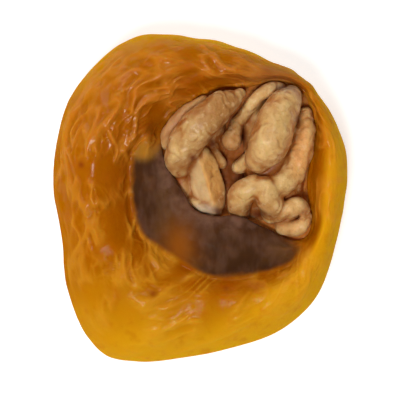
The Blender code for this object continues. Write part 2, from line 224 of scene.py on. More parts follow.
SLOPE_ROUNDING = 1.9


# %% Stations of the profile
def flap_share(angle):
    """1 where the flap is, 0 where it isn't, and between at its ends."""
    inside = np.minimum(angle - FLAP_FROM, FLAP_TO - angle) / FLAP_END_FADE
    return ease(0, 1, inside * 0.5 + 0.5)


def profile_stations(angle):
    """How far out and how high each station along the profile is, at these angles."""
    outline, inset = around(angle, OUTLINE), around(angle, CREST_INSET)
    crest, crest_high = outline - inset, around(angle, CREST_HEIGHT)
    crease, crease_high = around(angle, CREASE), around(angle, CREASE_HEIGHT)
    mouth, mouth_high = around(angle, MOUTH), around(angle, MOUTH_HEIGHT)
    pocket = around(angle, POCKET)
    flap = flap_share(angle)
    level = np.zeros_like(outline)

    flank = [(share * outline, high + level) for share, high in FLANK]
    widest = FLANK[-1][1]
    shoulder = [(outline - share * inset, mix(widest, crest_high, up)) for share, up in SHOULDER]
    over_flap = (
        (mix(crest, crease, 0.45), mix(crest_high, crease_high, 0.28)),
        (mix(crest, crease, 0.80), mix(crest_high, crease_high, 0.58)),
        (crease, crease_high),
        (crease - FLAP_RISE[0], crease_high + FLAP_RISE[1]),
        (mix(crease, mouth, 0.55), FLAP_TOP + level),
    )
    slope = [
        (
            mix(mix(crest, mouth, share), out, flap),
            mix(mix(crest_high, mouth_high, share ** SLOPE_ROUNDING), high, flap),
        )
        for share, (out, high) in zip(SLOPE, over_flap)
    ]
    turned = (mouth + MOUTH_TURN[0], mouth_high - MOUTH_TURN[1])
    wall = [(share * pocket, high + level) for share, high in POCKET_WALL]
    under_lip = (mix(turned[0], pocket, 0.72), mix(turned[1], wall[0][1], 0.5))
    stations = flank + shoulder + [(crest, crest_high)] + slope
    stations += [(mouth, mouth_high), turned, under_lip] + wall
    return np.array([out for out, high in stations]), np.array([high for out, high in stations])


CREASE_AT, MOUTH_AT, LAST_AT = 11, 14, 19
print("stations from flat spot to pocket floor:", len(profile_stations(np.array([0.0]))[0]))

# %% [markdown]
# ## Wrinkles
#
# As the flesh dries it shrinks and the skin doesn't, so the skin gathers into thin ridges with wider
# hollows between them. Most of them run along the rim, like gathers in a drawstring bag. They
# could be painted as bump alone, but the largest show at the edge and cast shadows, so they are moved
# points, and only the finest are left to the finish.
#
# The pattern is made from gradient noise: each corner of a lattice holds a direction, and the value
# at a point is a smooth blend of the corners' directions measured towards it. It passes through zero
# along thin winding lines, and there the ridges are raised. Stretching the lattice along the rim draws
# the ridges out along it.

# %% Gradient noise
draw = np.random.default_rng(11)
SHUFFLED = np.concatenate([draw.permutation(256)] * 3)
DIRECTIONS = draw.normal(size=(256, 3))
DIRECTIONS /= np.linalg.norm(DIRECTIONS, axis=1, keepdims=True)


def noise(points, seed=0):
    """Gradient noise at points, about -1 to 1.

    For each of the eight lattice corners round a point, the corner's direction times the step from it
    to the point, weighted by a smooth fade along each axis, and all eight added.
    """
    cell = np.floor(points).astype(int)
    step = points - cell
    fade = step ** 3 * (step * (step * 6 - 15) + 10)
    total = np.zeros(points.shape[:-1])
    for corner in product((0, 1), repeat=3):
        x, y, z = [(cell[..., k] + corner[k] + seed * (17 + 12 * k)) & 255 for k in range(3)]
        direction = DIRECTIONS[SHUFFLED[SHUFFLED[SHUFFLED[x] + y] + z]]
        weight = np.prod(np.where(corner, fade, 1 - fade), axis=-1)
        total += weight * np.sum(direction * (step - corner), axis=-1)
    return total * 1.7


def lines(points, thin_line, seed=0):
    """Thin lines, 1 on a line and 0 between: where the noise is nearer to zero than thin_line."""
    return 1 - ease(0, thin_line, np.abs(noise(points, seed)))


# %% Broad folds, as on the solid
FLANK_FOLD = 0.2
FLANK_FOLDS = (9, 14, 23)
RIM_FOLD = 0.28
RIM_FOLD_SPACING = 2.3
RIM_FOLD_MIDDLE, RIM_FOLD_REACH = 122.0, 50.0
CREST_FOLD = 0.2
CREST_FOLDS = (19, 31)
UNDER_FOLD = 0.3


def near(angle, middle, reach):
    """1 at the middle angle, falling to 0 beyond its reach either way, as a row."""
    away = (angle - middle + 180) % 360 - 180
    return np.exp(-((away / reach) ** 2))[None, :]


def hump(place, middle, reach):
    """1 at a place along the profile, falling to 0 beyond its reach either way."""
    return np.exp(-(((place - middle) / reach) ** 2))


def broad_folds(angle, along, out):
    """How far the skin stands out at each ring and angle: sums of sine waves round the fruit."""
    turn = np.radians(angle)[None, :]
    place = along[:, None]
    wander = 0.9 * np.sin(2 * turn + 0.8) + 0.5 * np.sin(5 * turn + 2.1)
    few, some, many = FLANK_FOLDS
    flank = (
        np.sin(few * turn + 0.9 * place + wander) * np.sin(2 * turn + 0.4)
        + 0.8 * np.sin(some * turn - 1.3 * place - 1.4 * wander)
        + 0.6 * np.sin(many * turn + 0.7 * place + 2 * wander) * np.sin(3 * turn + 1.9)
    )
    rim_side = near(angle, RIM_FOLD_MIDDLE, RIM_FOLD_REACH)
    weaving = out + 1.3 * np.sin(2 * turn) + 0.7 * np.sin(7 * turn)
    ridges = np.sin(2 * math.pi * weaving / RIM_FOLD_SPACING)
    broad, close = CREST_FOLDS
    crest = (1 - rim_side) * (
        np.sin(broad * turn + 0.8 * place + 1.5 * wander)
        + 0.8 * np.sin(close * turn - 0.9 * place - wander)
    )
    crest = crest * (0.35 + 0.65 * near(angle, 205, 85))
    under = np.sin(7 * turn + 1.6 * place) + 0.6 * np.sin(12 * turn - 2.1 * place + 1.1)
    return (
        FLANK_FOLD * (hump(place, 2.7, 0.9) + 0.35 * hump(place, 4.0, 0.8) + hump(place, 5.8, 1.2)) * flank
        + RIM_FOLD * hump(place, 8.4, 2.6) * rim_side * ridges
        + CREST_FOLD * hump(place, 7.8, 2.0) * crest
        + UNDER_FOLD * hump(place, 1.7, 0.8) * under
    )


# %% [markdown]
# ## The skin as one surface
#
# The surface has two parameters: the angle round the mouth, and the place along the profile. Rings of
# points lie close together where wrinkles show and wide apart in the pocket. Each point is moved out
# along the surface's normal by the broad folds and three sizes of wrinkle. The crease behind the flap
# is softened first, because points moved along the normals of a sharp crease would cross each other.
# The mouth's edge is drawn up to a millimetre nearer to the kernel, where the sticky flesh leans on it.

# %% A grid of points over the skin
SKIN_AROUND = 430
RINGS = ((0, 14), (2, 22), (4, 62), (8, 96), (MOUTH_AT, 16), (16, 8), (LAST_AT, 0))


def even_angles(count):
    """Angles that cut the outline into pieces of even length."""
    fine = np.arange(0, 720.5, 0.5)
    turn, reach = np.radians(fine), around(fine % 360, OUTLINE)
    walk = np.hypot(np.diff(reach * np.cos(turn)), np.diff(reach * np.sin(turn)))
    length = np.concatenate([[0], np.cumsum(walk)])
    return np.interp(np.arange(count) * length[720] / count, length, fine)


def ring_places(rings):
    """Where each ring of points lies along the profile."""
    start = np.array([r[0] for r in rings], float)
    count = np.cumsum([0] + [r[1] for r in rings[:-1]])
    return np.interp(np.arange(count[-1] + 1), count, start)


def grid_normals(points):
    """Outward normals of a grid that closes on itself sideways: the cross product of its two steps."""
    down = np.gradient(points, axis=0)
    wrapped = np.concatenate([points[:, -1:], points, points[:, :1]], axis=1)
    normal = np.cross((wrapped[:, 2:] - wrapped[:, :-2]) / 2, down)
    return normal / np.maximum(np.linalg.norm(normal, axis=-1, keepdims=True), 1e-9)


def averaged(points, reach):
    """Each ring of points moved to the mean of the rings within reach of it, twice over."""
    for _ in range(2):
        padded = np.pad(points, ((reach + 1, reach), (0, 0), (0, 0)), mode="edge")
        total = np.cumsum(padded, axis=0)
        points = (total[2 * reach + 1 :] - total[: -2 * reach - 1]) / (2 * reach + 1)
    return points


CREASE_SOFT = 1.1
CREASE_RINGS = 11
angle = even_angles(SKIN_AROUND)
along = ring_places(RINGS)
station_out, station_high = profile_stations(angle)
knots = np.arange(len(station_out), dtype=float)
out = smooth_curve(knots, station_out, along)
high = smooth_curve(knots, station_high, along)
turn = np.radians(angle)[None, :]
plain_skin = np.stack(
    [MOUTH_CENTRE[0] + out * np.cos(turn), MOUTH_CENTRE[1] + out * np.sin(turn), high], axis=-1
)
folded = plain_skin + grid_normals(plain_skin) * broad_folds(angle, along, out)[..., None]
at_crease = flap_share(angle)[None, :] * hump(along[:, None], CREASE_AT, CREASE_SOFT)
plain_skin = mix(plain_skin, averaged(plain_skin, CREASE_RINGS), at_crease[..., None])
skin_normal = grid_normals(plain_skin)
print("skin grid", plain_skin.shape[:2])

# %% Three sizes of wrinkle
steps = np.linalg.norm(np.diff(plain_skin, axis=0), axis=-1)
walked = np.concatenate([np.zeros((1, SKIN_AROUND)), np.cumsum(steps, axis=0)])
WRINKLES = (
    # length along the rim, width across it, height, all in millimetres, and how thin the lines are
    (8.0, 3.4, 0.34, 0.30),
    (4.6, 1.8, 0.24, 0.28),
    (2.4, 0.9, 0.10, 0.30),
)
RIM_RADIUS = 19.0
# How far the mouth's edge is drawn nearer to the kernel, at these degrees.
NEARER = (
    (0, 0.4), (60, 0.35), (110, 0.3), (150, 0.4), (175, 0.8), (210, 1.0), (240, 0.6), (270, 0.4), (320, 0.25),
)


def along_the_rim(length, width, seed):
    """Lattice coordinates in which one step is that length along the rim, or that width across it."""
    sway = 0.8 * noise(plain_skin / 6.0, seed + 50)
    return np.stack(
        [
            RIM_RADIUS / length * np.cos(turn) + 0 * walked,
            RIM_RADIUS / length * np.sin(turn) + 0 * walked,
            (walked + 2.2 * sway) / width,
        ],
        axis=-1,
    )


place = along[:, None]
flap = flap_share(angle)[None, :] * ease(CREASE_AT - 0.6, CREASE_AT + 1.1, place)
inside = ease(MOUTH_AT + 0.3, MOUTH_AT + 2.0, place)
# The wrinkles are strongest at the upper left, and calm on the flap and below it.
upper_left = near(angle, 150, 95)
calm = (1 - 0.85 * flap) * (1 - 0.35 * near(angle, 262, 36))
# Faint on the flank, stronger underneath and strongest from the shoulder up.
strength = (
    (0.12 + 0.45 * hump(place, 1.9, 1.2) + 0.88 * ease(4.4, 6.4, place))
    * (0.40 + 0.65 * upper_left)
    * calm
    * (1 - 0.9 * inside)
    * ease(0.2, 1.2, place)
)
wrinkle = np.zeros_like(walked)
for seed, (length, width, height, thin_line) in enumerate(WRINKLES, start=1):
    wrinkle += height * lines(along_the_rim(length, width, seed), thin_line, seed)
web = lines(plain_skin / 2.1 + 0.35 * noise(plain_skin / 1.3, 21)[..., None], 0.26, 22)
wrinkle += 0.14 * web * near(angle, 255, 62)
wrinkle *= ease(-0.35, 0.35, noise(plain_skin / 4.5, 24) + 0.15)
broad = broad_folds(angle, along, out) * (0.35 + 0.45 * near(angle, 120, 60))
nearer = around(angle, NEARER)[None, :] * ease(MOUTH_AT - 0.6, MOUTH_AT + 0.2, place)
skin_move = broad + wrinkle * strength + nearer
print("wrinkles stand out by", round(float((wrinkle * strength).max()), 2), "mm at most")

# %% The flap's own slight waves
FLAP_GRAIN = np.array([1.1, 3.6, 1.5])
flap_wave = 0.30 * noise(plain_skin / 4.2, 31) + 0.05 * noise(plain_skin / FLAP_GRAIN, 32)
skin_move = skin_move + flap * (1 - inside) * flap_wave
skin = plain_skin + skin_normal * skin_move[..., None]
skin[0, :, 2] = 0
skin[:, :, 2] = np.maximum(skin[:, :, 2], 0)


# %% Centre the fruit and give it its size
def placing(points):
    """How points are moved and stretched in plan to give the fruit its width and length, centred."""
    lo, hi = points[..., :2].min(axis=(0, 1)), points[..., :2].max(axis=(0, 1))
    shift = np.array([*(lo + hi) / 2, 0])
    stretch = np.array([WIDTH, LENGTH, 1]) / np.array([*(hi - lo), 1])
    return lambda p: (p - shift) * stretch


place_in_frame = placing(folded)
skin = place_in_frame(skin)
print("skin", np.round(skin.min(axis=(0, 1)), 2), np.round(skin.max(axis=(0, 1)), 2))


# %% From grid to mesh
def grid_faces(rings, sides):
    """Four-cornered faces between neighbouring rings, as one array."""
    ring = np.arange(rings - 1)[:, None] * sides
    here = np.arange(sides)[None, :]
    after = (here + 1) % sides
    corners = [ring + here, ring + after, ring + sides + after, ring + sides + here]
    return np.stack(corners, axis=-1).reshape(-1, 4)


def closed_mesh(name, points):
    """A closed mesh over rings of points, with a flat face over the first ring and the last."""
    rings, sides = points.shape[:2]
    faces = grid_faces(rings, sides).tolist()
    faces.append(list(range(sides))[::-1])
    faces.append([(rings - 1) * sides + i for i in range(sides)])
    mesh = bpy.data.meshes.new(name)
    mesh.from_pydata((points.reshape(-1, 3) * MM).tolist(), [], faces)
    work = bmesh.new()
    work.from_mesh(mesh)
    bmesh.ops.recalc_face_normals(work, faces=work.faces[:])
    work.to_mesh(mesh)
    work.free()
    mesh.shade_smooth()
    return mesh


def mark(mesh, name, values):
    """Stores one number for each point of the mesh, for the finish to read."""
    layer = mesh.attributes.new(name, "FLOAT", "POINT")
    layer.data.foreach_set("value", np.ascontiguousarray(values, dtype=np.float32).ravel())


def show(name, mesh, *nodes):
    """Puts a finished piece in the scene, in place of these nodes of the frame."""
    piece = put(name, mesh)
    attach(piece, "root")
    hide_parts(*nodes)
    return piece


skin_mesh = closed_mesh("apricot_skin", skin)
apricot = show("apricot_skin", skin_mesh, "dried_apricot")
print("skin faces", len(skin_mesh.polygons))

# %% [markdown]
# ## Where the colours change
#
# The finish needs to know where it is on the fruit. Thin flesh at the flank and the rim lets light
# through and is yellow; the thick slopes round the mouth are a deep brown-orange, and browner still in
# the recess beside the kernel, which is painted shade, as is a greyer patch at the top of the rim; the
# wrinkle ridges are painted paler as a painted highlight; the flap is the dark inner side of the flesh,
# with an olive end, an orange-brown patch and a paler edge, a painted highlight where the thin edge
# catches light. Each of these is a number from 0 to 1 at every point, worked out from the same two
# parameters or from where the point lies seen from above, and the materials mix their colours by it.
# Texture painting would do this too, but a number at a point needs no picture.


# %% Masks over the skin
def spot(x, y, reach_x, reach_y=None):
    """1 at a place seen from above, in millimetres from the origin, falling to 0 beyond its reach."""
    reach_y = reach_y or reach_x
    return np.exp(-(((skin[..., 0] - x) / reach_x) ** 2 + ((skin[..., 1] - y) / reach_y) ** 2))


thin = np.clip(
    0.95 * hump(place, 3.6, 2.6) * (1 - 0.95 * near(angle, 195, 52))
    + 0.25 * near(angle, 240, 16) * hump(place, 6.0, 2.5)
    + 0.75 * near(angle, 302, 68) * ease(9.5, 6.0, place)
    + 0.9 * near(angle, 330, 60) * hump(place, 7.6, 2.2)
    - 0.4 * near(angle, 268, 26) * hump(place, 6.8, 2.0),
    0,
    1,
)
upper_side = ease(4.0, 6.0, place)
slope_dark = hump(place, 10.6, 1.9) * (1 - 0.8 * near(angle, 0, 65)) * (1 - flap)
slope_dark *= 1 - 0.45 * near(angle, 136, 26)
# The ridge mark gives the wrinkle ridges paler lines, a painted highlight where they catch light.
ridge = np.clip(wrinkle * np.minimum(strength * 1.4, 1) / 0.26, 0, 1)
speck = spot(-6.3, -12.9, 0.55) + spot(-15.9, 4.4, 0.4) + 0.6 * spot(3.5, -12.2, 0.4)
# Painted shade: the recess between the mouth's edge and the kernel at the upper left, with one darker spot in
# it, is painted browner.
recess_shade = hump(place, MOUTH_AT, 2.3) * near(angle, 142, 36) + 1.4 * spot(-6.3, 8.8, 1.1, 1.2)
facing_up = ease(0.25, 0.8, grid_normals(skin)[..., 2])
drier = 1 - 0.75 * near(angle, 215, 30) - 0.55 * near(angle, 268, 28)
SKIN_MARKS = {
    "flap": flap,
    "inside": inside,
    "thin": thin,
    "slope_dark": slope_dark,
    "ridge": ridge,
    "speck": np.clip(speck, 0, 1) * upper_side,
    "flap_tip": spot(11.6, -7.2, 2.2, 1.8),
    "olive_end": spot(-7.6, 7.2, 2.7, 2.4),
    "orange_patch": spot(-2.8, -6.8, 2.2, 3.8),
    # A painted highlight along the flap's thin upper edge, where it catches light.
    "lit_flap_edge": hump(place, MOUTH_AT - 0.1, 0.5),
    "sticky": (0.03 + (0.1 + 0.4 * upper_left) * facing_up) * (1 - 0.85 * flap) * drier,
    # Painted shade: a greyer patch on the rim beside the kernel's upper right.
    "rim_shade_patch": spot(10.0, 16.4, 4.5, 2.0),
    "recess_shade": recess_shade * upper_side,
    "web": near(angle, 255, 62),
}
for mark_name, values in SKIN_MARKS.items():
    mark(skin_mesh, mark_name, np.broadcast_to(values, walked.shape))
print("marks on the skin:", ", ".join(SKIN_MARKS))

# %% [markdown]
# ## The walnut kernel
#
# A kernel is folded like a small brain: rounded lobes a few millimetres thick, joined low down, with
# deep clefts between them. Each lobe is a circle carried along a path, with a radius that changes on
# the way, and its ends are drawn in to a round. All the lobes of a piece are then grown into one skin
# by a voxel remesh, which rounds the joints as growth does. Sculpting would do as well, but a path of
# a few points for each lobe can be read and moved. One lobe has broken off short, so it is cut by two
# flat faces. The few stains, paler and browner patches, painted highlights and the painted shade of the
# dark hollows are placed one by one, as ovals seen from above.

# %% The lobes, as paths of (x, y, z, radius) points
LEFT_MIDDLE = (-0.5, 5.0, 10.0)
LEFT_CORE = (
    ((-1.6, 2.0, 8.6, 3.3), (-0.4, 6.0, 9.2, 3.9), (0.6, 9.3, 10.4, 2.8)),
)
LEFT_LOBES = (
    # the long ridge along the top
    (
        (5.2, 13.3, 13.9, 0.9), (4.2, 12.6, 14.5, 1.4), (2.9, 11.8, 15.0, 1.9), (0.9, 10.1, 15.3, 2.3),
        (-1.1, 8.0, 15.1, 2.45), (-2.5, 6.0, 14.4, 2.2), (-2.9, 4.4, 13.0, 1.7),
    ),
    # the swelling where it ends
    ((-1.6, 6.4, 14.5, 1.9), (-3.1, 5.2, 14.0, 1.8), (-2.9, 3.7, 12.8, 1.5)),
    # the slim fold behind it
    (
        (0.4, 12.4, 12.4, 0.8), (-1.5, 11.4, 12.9, 0.9), (-3.3, 9.7, 12.9, 0.9), (-4.5, 8.0, 12.3, 0.9),
        (-4.8, 6.8, 11.6, 0.8),
    ),
    # a knob at its foot
    ((-2.7, 2.0, 11.6, 1.3), (-2.3, 0.4, 11.0, 1.3), (-1.2, -1.0, 9.8, 1.1)),
    # a low fold in the cleft
    ((0.9, 6.4, 11.4, 0.9), (2.0, 5.2, 11.7, 0.85), (2.9, 4.2, 11.5, 0.8)),
    # a thin flake beside the flap
    ((-1.2, -1.0, 11.7, 0.6), (0.2, -1.8, 12.2, 0.7), (1.5, -2.2, 12.0, 0.7), (2.3, -2.4, 11.4, 0.55)),
)
# The lobe that broke off short, and the line along which its two broken faces meet.
BROKEN_LOBE = (
    (0.2, 4.7, 12.6, 1.8), (0.6, 2.9, 12.8, 2.15), (1.1, 0.9, 12.3, 2.3), (1.4, -0.7, 11.2, 2.0),
    (1.2, -2.2, 9.8, 1.2),
)
BREAK_FROM, BREAK_TO = (0.1, 4.4, 14.9), (1.6, -0.9, 13.3)
BREAK_LEAN = 38.0
RIGHT_MIDDLE = (9.5, 4.5, 10.0)
RIGHT_CORE = (
    ((7.6, 10.2, 9.6, 2.8), (9.6, 6.4, 9.4, 3.9), (9.4, 1.0, 9.2, 3.9), (8.2, -1.4, 8.2, 3.0)),
    ((11.8, 9.6, 10.4, 2.6), (11.8, 3.6, 10.2, 2.5), (11.2, -2.4, 9.2, 2.4)),
)
RIGHT_LOBES = (
    # the kidney-shaped lobe
    (
        (12.2, 12.9, 13.4, 1.6), (11.4, 12.0, 14.5, 2.2), (10.3, 10.1, 15.3, 2.65), (9.5, 7.9, 15.4, 2.8),
        (8.7, 6.0, 15.0, 2.6), (7.8, 4.9, 14.2, 2.0),
    ),
    # the thin fold along its upper side
    (
        (10.8, 14.2, 12.2, 0.75), (9.7, 14.1, 12.8, 0.9), (8.3, 13.4, 13.2, 0.95), (7.1, 12.3, 13.3, 0.95),
        (6.1, 11.1, 12.9, 0.85), (5.7, 10.3, 12.4, 0.8),
    ),
    # the small knob in the cleft, on its neck
    ((5.9, 10.7, 12.2, 0.85), (5.0, 9.6, 12.5, 0.95), (4.5, 8.3, 12.9, 1.15), (4.2, 7.2, 13.1, 1.4)),
    # the lower knob
    ((6.2, 4.6, 11.2, 1.0), (5.1, 3.5, 11.5, 0.95)),
    # the long strand down the right side
    (
        (14.2, 10.7, 12.2, 1.0), (14.3, 8.6, 12.7, 1.25), (13.8, 6.3, 13.0, 1.55), (12.7, 3.8, 13.1, 1.75),
        (11.4, 1.9, 13.3, 1.75), (10.0, 1.0, 13.5, 1.7),
    ),
    # the arch across the lower end, whose two feet go under the flap
    ((5.2, -2.7, 10.0, 1.4), (5.25, -1.3, 12.0, 1.65), (5.7, 0.2, 13.3, 1.8), (7.1, 1.0, 14.0, 1.65)),
    ((7.1, 1.0, 14.0, 1.5), (8.6, 0.6, 14.2, 1.85), (9.4, -0.9, 13.4, 1.8), (9.6, -2.4, 11.6, 1.5)),
    # the two small lobes at the lower right
    ((10.3, -2.5, 11.9, 1.2), (11.7, -2.0, 12.5, 1.3), (13.1, -1.5, 12.4, 1.2), (13.9, -2.0, 11.5, 0.9)),
    (
        (11.1, -4.4, 10.4, 1.0), (12.1, -4.6, 10.9, 1.05), (13.2, -4.4, 11.3, 1.1), (14.0, -3.7, 11.4, 1.0),
        (14.2, -2.9, 11.0, 0.8),
    ),
)


# %% One lobe: a circle carried along a path
LEAST_RADIUS = 0.02


def lobe_points(path, sides=20, rings=34):
    """Rings of points round a path of (x, y, z, radius) knots.

    The path is a smooth curve through its knots. Each ring is a circle square to it. Past either end
    the circles shrink as a ball's would: radius = root of (end radius squared - distance past squared).
    """
    path = np.array(path, float)
    step = np.linalg.norm(np.diff(path[:, :3], axis=0), axis=1)
    at = np.concatenate([[0], np.cumsum(step)])
    sweep = 0.5 - 0.5 * np.cos(np.linspace(0, math.pi, rings))
    first, last = path[0, 3], path[-1, 3]
    where = -first + sweep * (at[-1] + first + last)
    inner = np.clip(where, 0, at[-1])
    line = smooth_curve(at, path, inner)
    within = np.clip(where, LEAST_RADIUS, at[-1] - LEAST_RADIUS)
    heading = np.gradient(smooth_curve(at, path[:, :3], within), axis=0)
    ends = np.stack([path[1, :3] - path[0, :3], path[-1, :3] - path[-2, :3]])
    before, beyond = where < 0, where > at[-1]
    heading[before], heading[beyond] = ends[0], ends[1]
    heading /= np.maximum(np.linalg.norm(heading, axis=1, keepdims=True), 1e-9)
    past = where - inner
    middle = line[:, :3] + heading * past[:, None]
    cap = np.where(before, first, last)
    radius = np.where(before | beyond, np.sqrt(np.maximum(cap ** 2 - past ** 2, 0)), line[:, 3])
    radius = np.maximum(radius, LEAST_RADIUS)
    side = np.cross(heading, (0, 0, 1))
    side /= np.maximum(np.linalg.norm(side, axis=1, keepdims=True), 1e-9)
    rise = np.cross(side, heading)
    round_it = np.arange(sides) * 2 * math.pi / sides
    across, upwards = np.cos(round_it)[None, :, None], np.sin(round_it)[None, :, None]
    ring = side[:, None] * across + rise[:, None] * upwards
    return middle[:, None] + ring * radius[:, None, None]


# %% The broken faces
def broken_faces(points):
    """The broken lobe's points, with what lies beyond either broken face pressed back onto it."""
    start = np.array(BREAK_FROM)
    run = np.array(BREAK_TO) - start
    run /= np.linalg.norm(run)
    side = np.cross(run, (0, 0, 1))
    side /= np.linalg.norm(side)
    lean = math.radians(BREAK_LEAN)
    for way in (-1, 1):
        facing = np.cross(side, run) * math.cos(lean) + way * side * math.sin(lean)
        beyond = np.maximum((points - start) @ facing, 0)
        points = points - beyond[..., None] * facing
    return points


# %% Growing the lobes together
KERNEL_VOXEL = 0.17
CRINKLE = 0.4
CRINKLE_SIZE = 2.3


def crinkles():
    """Rounded lumps and dents the size of a kernel's small folds."""
    lumps = bpy.data.textures.new("crinkles", "CLOUDS")
    lumps.noise_scale = CRINKLE_SIZE * MM
    lumps.noise_depth = 1
    return lumps


def grown_together(name, lobes, middle):
    """One mesh over all the lobes of a piece of kernel, measured from its middle, in metres."""
    together = bmesh.new()
    for points in lobes:
        lobe = closed_mesh("lobe", place_in_frame(points) - middle)
        together.from_mesh(lobe)
        bpy.data.meshes.remove(lobe)
    rough = bpy.data.meshes.new(name)
    together.to_mesh(rough)
    together.free()
    growing = put(name, rough)
    grow = growing.modifiers.new("grow_together", "REMESH")
    grow.mode, grow.voxel_size = "VOXEL", KERNEL_VOXEL * MM
    crinkle = growing.modifiers.new("crinkle", "DISPLACE")
    crinkle.texture, crinkle.strength = crinkles(), CRINKLE * MM
    grown = growing.evaluated_get(bpy.context.evaluated_depsgraph_get())
    made = bpy.data.meshes.new_from_object(grown)
    bpy.data.objects.remove(growing)
    return made


# %% Reading and smoothing a mesh
def read_points(mesh, what="co"):
    """The mesh's points, or its normals, as one array."""
    flat = np.empty(len(mesh.vertices) * 3, dtype=np.float32)
    mesh.vertices.foreach_get(what, flat)
    return flat.reshape(-1, 3).astype(float)


def smoothed(points, edges, times):
    """Each point moved to the middle of its neighbours, over and over."""
    count = np.bincount(edges.ravel(), minlength=len(points))[:, None]
    for _ in range(times):
        total = np.stack(
            [
                np.bincount(edges[:, 0], points[edges[:, 1], k], len(points))
                + np.bincount(edges[:, 1], points[edges[:, 0], k], len(points))
                for k in range(points.shape[1])
            ],
            axis=1,
        )
        points = 0.4 * points + 0.6 * total / count
    return points


# %% Spots on the kernel, in millimetres from the origin
def oval(x, y, reach_x, reach_y, sharp=2):
    """A patch seen from above, 1 at its middle and falling to 0 beyond its reach."""

    def patch(px, py, pz):
        away = ((px - x) / reach_x) ** 2 + ((py - y) / reach_y) ** 2
        return np.exp(-(away ** (sharp / 2)))

    return patch


def slim_fold(px, py, pz):
    """1 on the slim fold behind the ridge, which lies lower than the ridge, 0 elsewhere."""
    return oval(-3.2, 9.9, 3.2, 3.8, 4)(px, py, pz) * ease(14.8, 14.0, pz)


def shaded_hollows(px, py, pz):
    """1 in the few hollows where lobes meet, which are painted dark as painted shade, 0 elsewhere."""
    return np.maximum.reduce([oval(*shaded_hollow)(px, py, pz) for shaded_hollow in SHADED_HOLLOWS])


def right_of_break(px, py, pz):
    """0 on the left of the line where the broken faces meet, 1 on its right."""
    (x0, y0, _), (x1, y1, _) = BREAK_FROM, BREAK_TO
    across = ((px - x0) * (y1 - y0) - (py - y0) * (x1 - x0)) / math.hypot(x1 - x0, y1 - y0)
    return ease(0.15, -0.15, across)


# Hollows that get painted shade, as (x, y, reach along x, reach along y).
SHADED_HOLLOWS = (
    (7.8, -2.3, 1.1, 0.7), (2.4, -1.9, 0.6, 0.6), (1.7, 7.3, 0.6, 0.8), (5.9, 8.2, 0.5, 1.3),
    (13.1, 10.3, 0.55, 0.8),
)
KERNEL_SPOTS = {
    "shaded_hollow": shaded_hollows,
    "broken": oval(0.8, 2.4, 2.3, 3.6, 6),
    "right_face": right_of_break,
    "stain": oval(-1.0, 5.36, 0.45, 0.4),
    "rust": oval(-2.9, 1.9, 0.7, 1.1),
    "browner": oval(4.3, 7.8, 2.0, 2.6, 4),
    "strand": oval(13.6, 6.8, 1.7, 4.8, 4),
    # Painted light: the two small lobes at the lower right are painted paler.
    "lit_lobe_tips": oval(12.4, -2.8, 2.6, 2.6, 4),
    # Painted highlights: a pale spot on the kidney's lower end and another on the swelling.
    "light": oval(8.3, 6.3, 1.5, 1.8),
    "painted_highlight_left": oval(-3.4, 6.2, 0.9, 1.5),
    "ridge_end": oval(2.4, 11.8, 3.6, 2.8, 4),
    "grey_tip": oval(0.3, -1.7, 1.9, 0.9, 4),
    "slim_fold": slim_fold,
    "grey_edge": oval(11.4, 14.8, 1.8, 0.55),
}
print("spots on the kernel:", ", ".join(KERNEL_SPOTS))

# %% Fine folds, and where the creases are
SWELL, FOLD_DEPTH, VEIN_DEPTH = 0.08, 0.12, 0.06
FIRST_SMOOTHING, FINE_SMOOTHING, WIDE_SMOOTHING = 3, 30, 90
CREASE_DEPTH, CLEFT_DEPTH = 0.22, 0.7


def kernel_piece(name, lobes, middle, node, seed):
    """A finished piece of kernel, with its depth below the smoothed surface stored at each point."""
    middle = place_in_frame(np.array(middle))
    mesh = grown_together(name, lobes, middle)
    edges = np.empty(len(mesh.edges) * 2, dtype=np.int32)
    mesh.edges.foreach_get("vertices", edges)
    edges = edges.reshape(-1, 2)
    points = smoothed(read_points(mesh) / MM, edges, FIRST_SMOOTHING)
    mesh.vertices.foreach_set("co", (points * MM).ravel())
    mesh.update()
    normal = read_points(mesh, "normal")
    sway = noise(points / 2.5, seed + 3)[:, None]
    fold_here = ease(-0.2, 0.2, noise(points / 3.0, seed + 5))
    vein_here = ease(-0.2, 0.3, noise(points / 2.0, seed + 6))
    folds = lines(points / 3.4 + 0.5 * sway, 0.3, seed) * fold_here
    veins = lines(points / 1.6 + 0.4 * sway, 0.2, seed + 1) * vein_here
    swell = noise(points / 1.5, seed + 7)
    points = points + normal * (SWELL * swell - FOLD_DEPTH * folds - VEIN_DEPTH * veins)[:, None]
    rest = smoothed(points, edges, FINE_SMOOTHING)
    wide = smoothed(rest, edges, WIDE_SMOOTHING)
    crease = np.sum((rest - points) * normal, axis=1)
    cleft = np.sum((wide - points) * normal, axis=1)
    mesh.vertices.foreach_set("co", ((points + middle) * MM).ravel())
    mesh.update()
    mesh.shade_smooth()
    piece = show(name, mesh, node)
    mark(mesh, "crease", np.clip(crease / CREASE_DEPTH, -1, 1) * 0.5 + 0.5)
    mark(mesh, "cleft", np.clip(cleft / CLEFT_DEPTH, -1, 1) * 0.5 + 0.5)
    mark(mesh, "upward", np.clip(read_points(mesh, "normal")[:, 2], 0, 1))
    mark(mesh, "height", (points + middle)[:, 2])
    for mark_name, shape in KERNEL_SPOTS.items():
        mark(mesh, mark_name, shape(*(points + middle).T))
    print(name, len(mesh.polygons), "faces, creases", np.round(np.percentile(crease, [2, 50, 98]), 3))
    return piece


left_lobes = [lobe_points(path) for path in LEFT_CORE + LEFT_LOBES]
left_lobes.append(broken_faces(lobe_points(BROKEN_LOBE)))
right_lobes = [lobe_points(path) for path in RIGHT_CORE + RIGHT_LOBES]
kernel_left = kernel_piece("kernel_left", left_lobes, LEFT_MIDDLE, "walnut_piece_left", 41)
kernel_right = kernel_piece("kernel_right", right_lobes, RIGHT_MIDDLE, "walnut_piece_right", 61)

